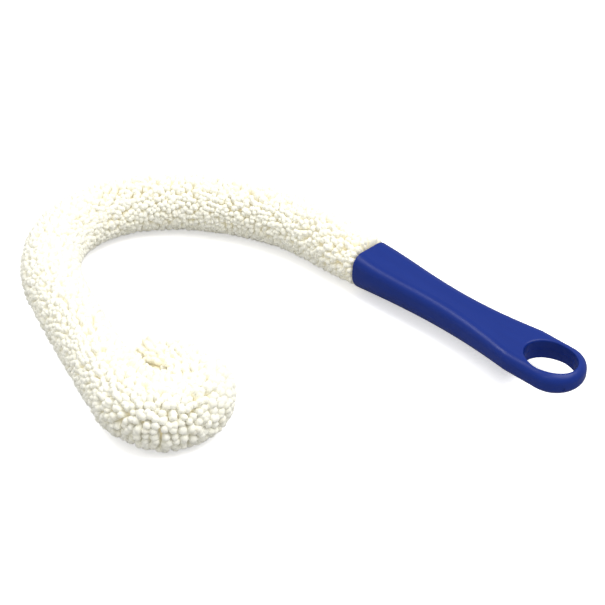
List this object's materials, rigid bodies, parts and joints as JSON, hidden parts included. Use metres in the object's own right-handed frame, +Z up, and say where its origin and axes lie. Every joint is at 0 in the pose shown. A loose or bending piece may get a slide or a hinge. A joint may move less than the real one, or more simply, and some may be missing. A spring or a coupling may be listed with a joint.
{
  "type": "wheel brush",
  "caption": "Long bendable foam wheel brush: soft noodle head on a twisted wire core, curled at the tip, in a moulded handle with an oval hanging eye.",
  "frame": {"origin": "centre of the oval hanging eye, half way through its thickness", "axes": "+X along the handle towards its free end, +Z up through the hanging eye, so the head bends in the XY plane and curls towards -Y"},
  "size_m": [0.3243, 0.2194, 0.0344],
  "materials": {
    "handle_plastic": "satin moulded polypropylene, blue",
    "foam": "soft open-cell foam noodles, off-white",
    "wire": "galvanised steel wire",
    "adhesive": "set epoxy"
  },
  "bodies": {
    "handle": {"handle_body": "handle_plastic", "stem_adhesive": "adhesive", "stem_wire_a": "wire", "stem_wire_b": "wire", "foam_root": "foam"},
    "head_01": {"foam_section_01": "foam", "wire_a_01": "wire", "wire_b_01": "wire"},
    "head_02": {"foam_section_02": "foam", "wire_a_02": "wire", "wire_b_02": "wire"},
    "head_03": {"foam_section_03": "foam", "wire_a_03": "wire", "wire_b_03": "wire"},
    "head_04": {"foam_section_04": "foam", "wire_a_04": "wire", "wire_b_04": "wire"},
    "head_05": {"foam_section_05": "foam", "wire_a_05": "wire", "wire_b_05": "wire"},
    "head_06": {"foam_section_06": "foam", "wire_a_06": "wire", "wire_b_06": "wire"},
    "head_07": {"foam_section_07": "foam", "wire_a_07": "wire", "wire_b_07": "wire"},
    "head_08": {"foam_section_08": "foam", "wire_a_08": "wire", "wire_b_08": "wire"},
    "head_09": {"foam_section_09": "foam", "wire_a_09": "wire", "wire_b_09": "wire"},
    "head_10": {"foam_section_10": "foam", "wire_a_10": "wire", "wire_b_10": "wire"},
    "head_11": {"foam_section_11": "foam", "wire_a_11": "wire", "wire_b_11": "wire"},
    "head_12": {"foam_section_12": "foam", "wire_a_12": "wire", "wire_b_12": "wire"},
    "head_13": {"foam_section_13": "foam", "wire_a_13": "wire", "wire_b_13": "wire"},
    "head_14": {"foam_section_14": "foam", "wire_a_14": "wire", "wire_b_14": "wire", "wire_end_fold": "wire"}
  },
  "joints": [
    {"name": "bend_01", "type": "hinge", "parent": "handle", "child": "head_01", "pos_m": [-0.158, 0, 0], "axis": [0, 0, 1], "range_deg": [-25, 10]},
    {"name": "bend_02", "type": "hinge", "parent": "head_01", "child": "head_02", "pos_m": [-0.197, 0, 0], "axis": [0, 0, 1], "range_deg": [-21, 5]},
    {"name": "bend_03", "type": "hinge", "parent": "head_02", "child": "head_03", "pos_m": [-0.23341, -0.01398, 0], "axis": [0, 0, 1], "range_deg": [-14, 5]},
    {"name": "bend_04", "type": "hinge", "parent": "head_03", "child": "head_04", "pos_m": [-0.26536, -0.03635, 0], "axis": [0, 0, 1], "range_deg": [-22, 5]},
    {"name": "bend_05", "type": "hinge", "parent": "head_04", "child": "head_05", "pos_m": [-0.2866, -0.06905, 0], "axis": [0, 0, 1], "range_deg": [-35, 5]},
    {"name": "bend_06", "type": "hinge", "parent": "head_05", "child": "head_06", "pos_m": [-0.28524, -0.10803, 0], "axis": [0, 0, 1], "range_deg": [-38, 5]},
    {"name": "bend_07", "type": "hinge", "parent": "head_06", "child": "head_07", "pos_m": [-0.26017, -0.13791, 0], "axis": [0, 0, 1], "range_deg": [-26, 5]},
    {"name": "bend_08", "type": "hinge", "parent": "head_07", "child": "head_08", "pos_m": [-0.22454, -0.15377, 0], "axis": [0, 0, 1], "range_deg": [-14, 5]},
    {"name": "bend_09", "type": "hinge", "parent": "head_08", "child": "head_09", "pos_m": [-0.18789, -0.16711, 0], "axis": [0, 0, 1], "range_deg": [-10, 5]},
    {"name": "bend_10", "type": "hinge", "parent": "head_09", "child": "head_10", "pos_m": [-0.15124, -0.18045, 0], "axis": [0, 0, 1], "range_deg": [-7, 0]},
    {"name": "bend_11", "type": "hinge", "parent": "head_10", "child": "head_11", "pos_m": [-0.13176, -0.18494, 0], "axis": [0, 0, 1], "range_deg": [-31, 0]},
    {"name": "bend_12", "type": "hinge", "parent": "head_11", "child": "head_12", "pos_m": [-0.11274, -0.17877, 0], "axis": [0, 0, 1], "range_deg": [-56, 0]},
    {"name": "bend_13", "type": "hinge", "parent": "head_12", "child": "head_13", "pos_m": [-0.10722, -0.15954, 0], "axis": [0, 0, 1], "range_deg": [-58, 0]},
    {"name": "bend_14", "type": "hinge", "parent": "head_13", "child": "head_14", "pos_m": [-0.12061, -0.14468, 0], "axis": [0, 0, 1], "range_deg": [-57, 0]}
  ]
}
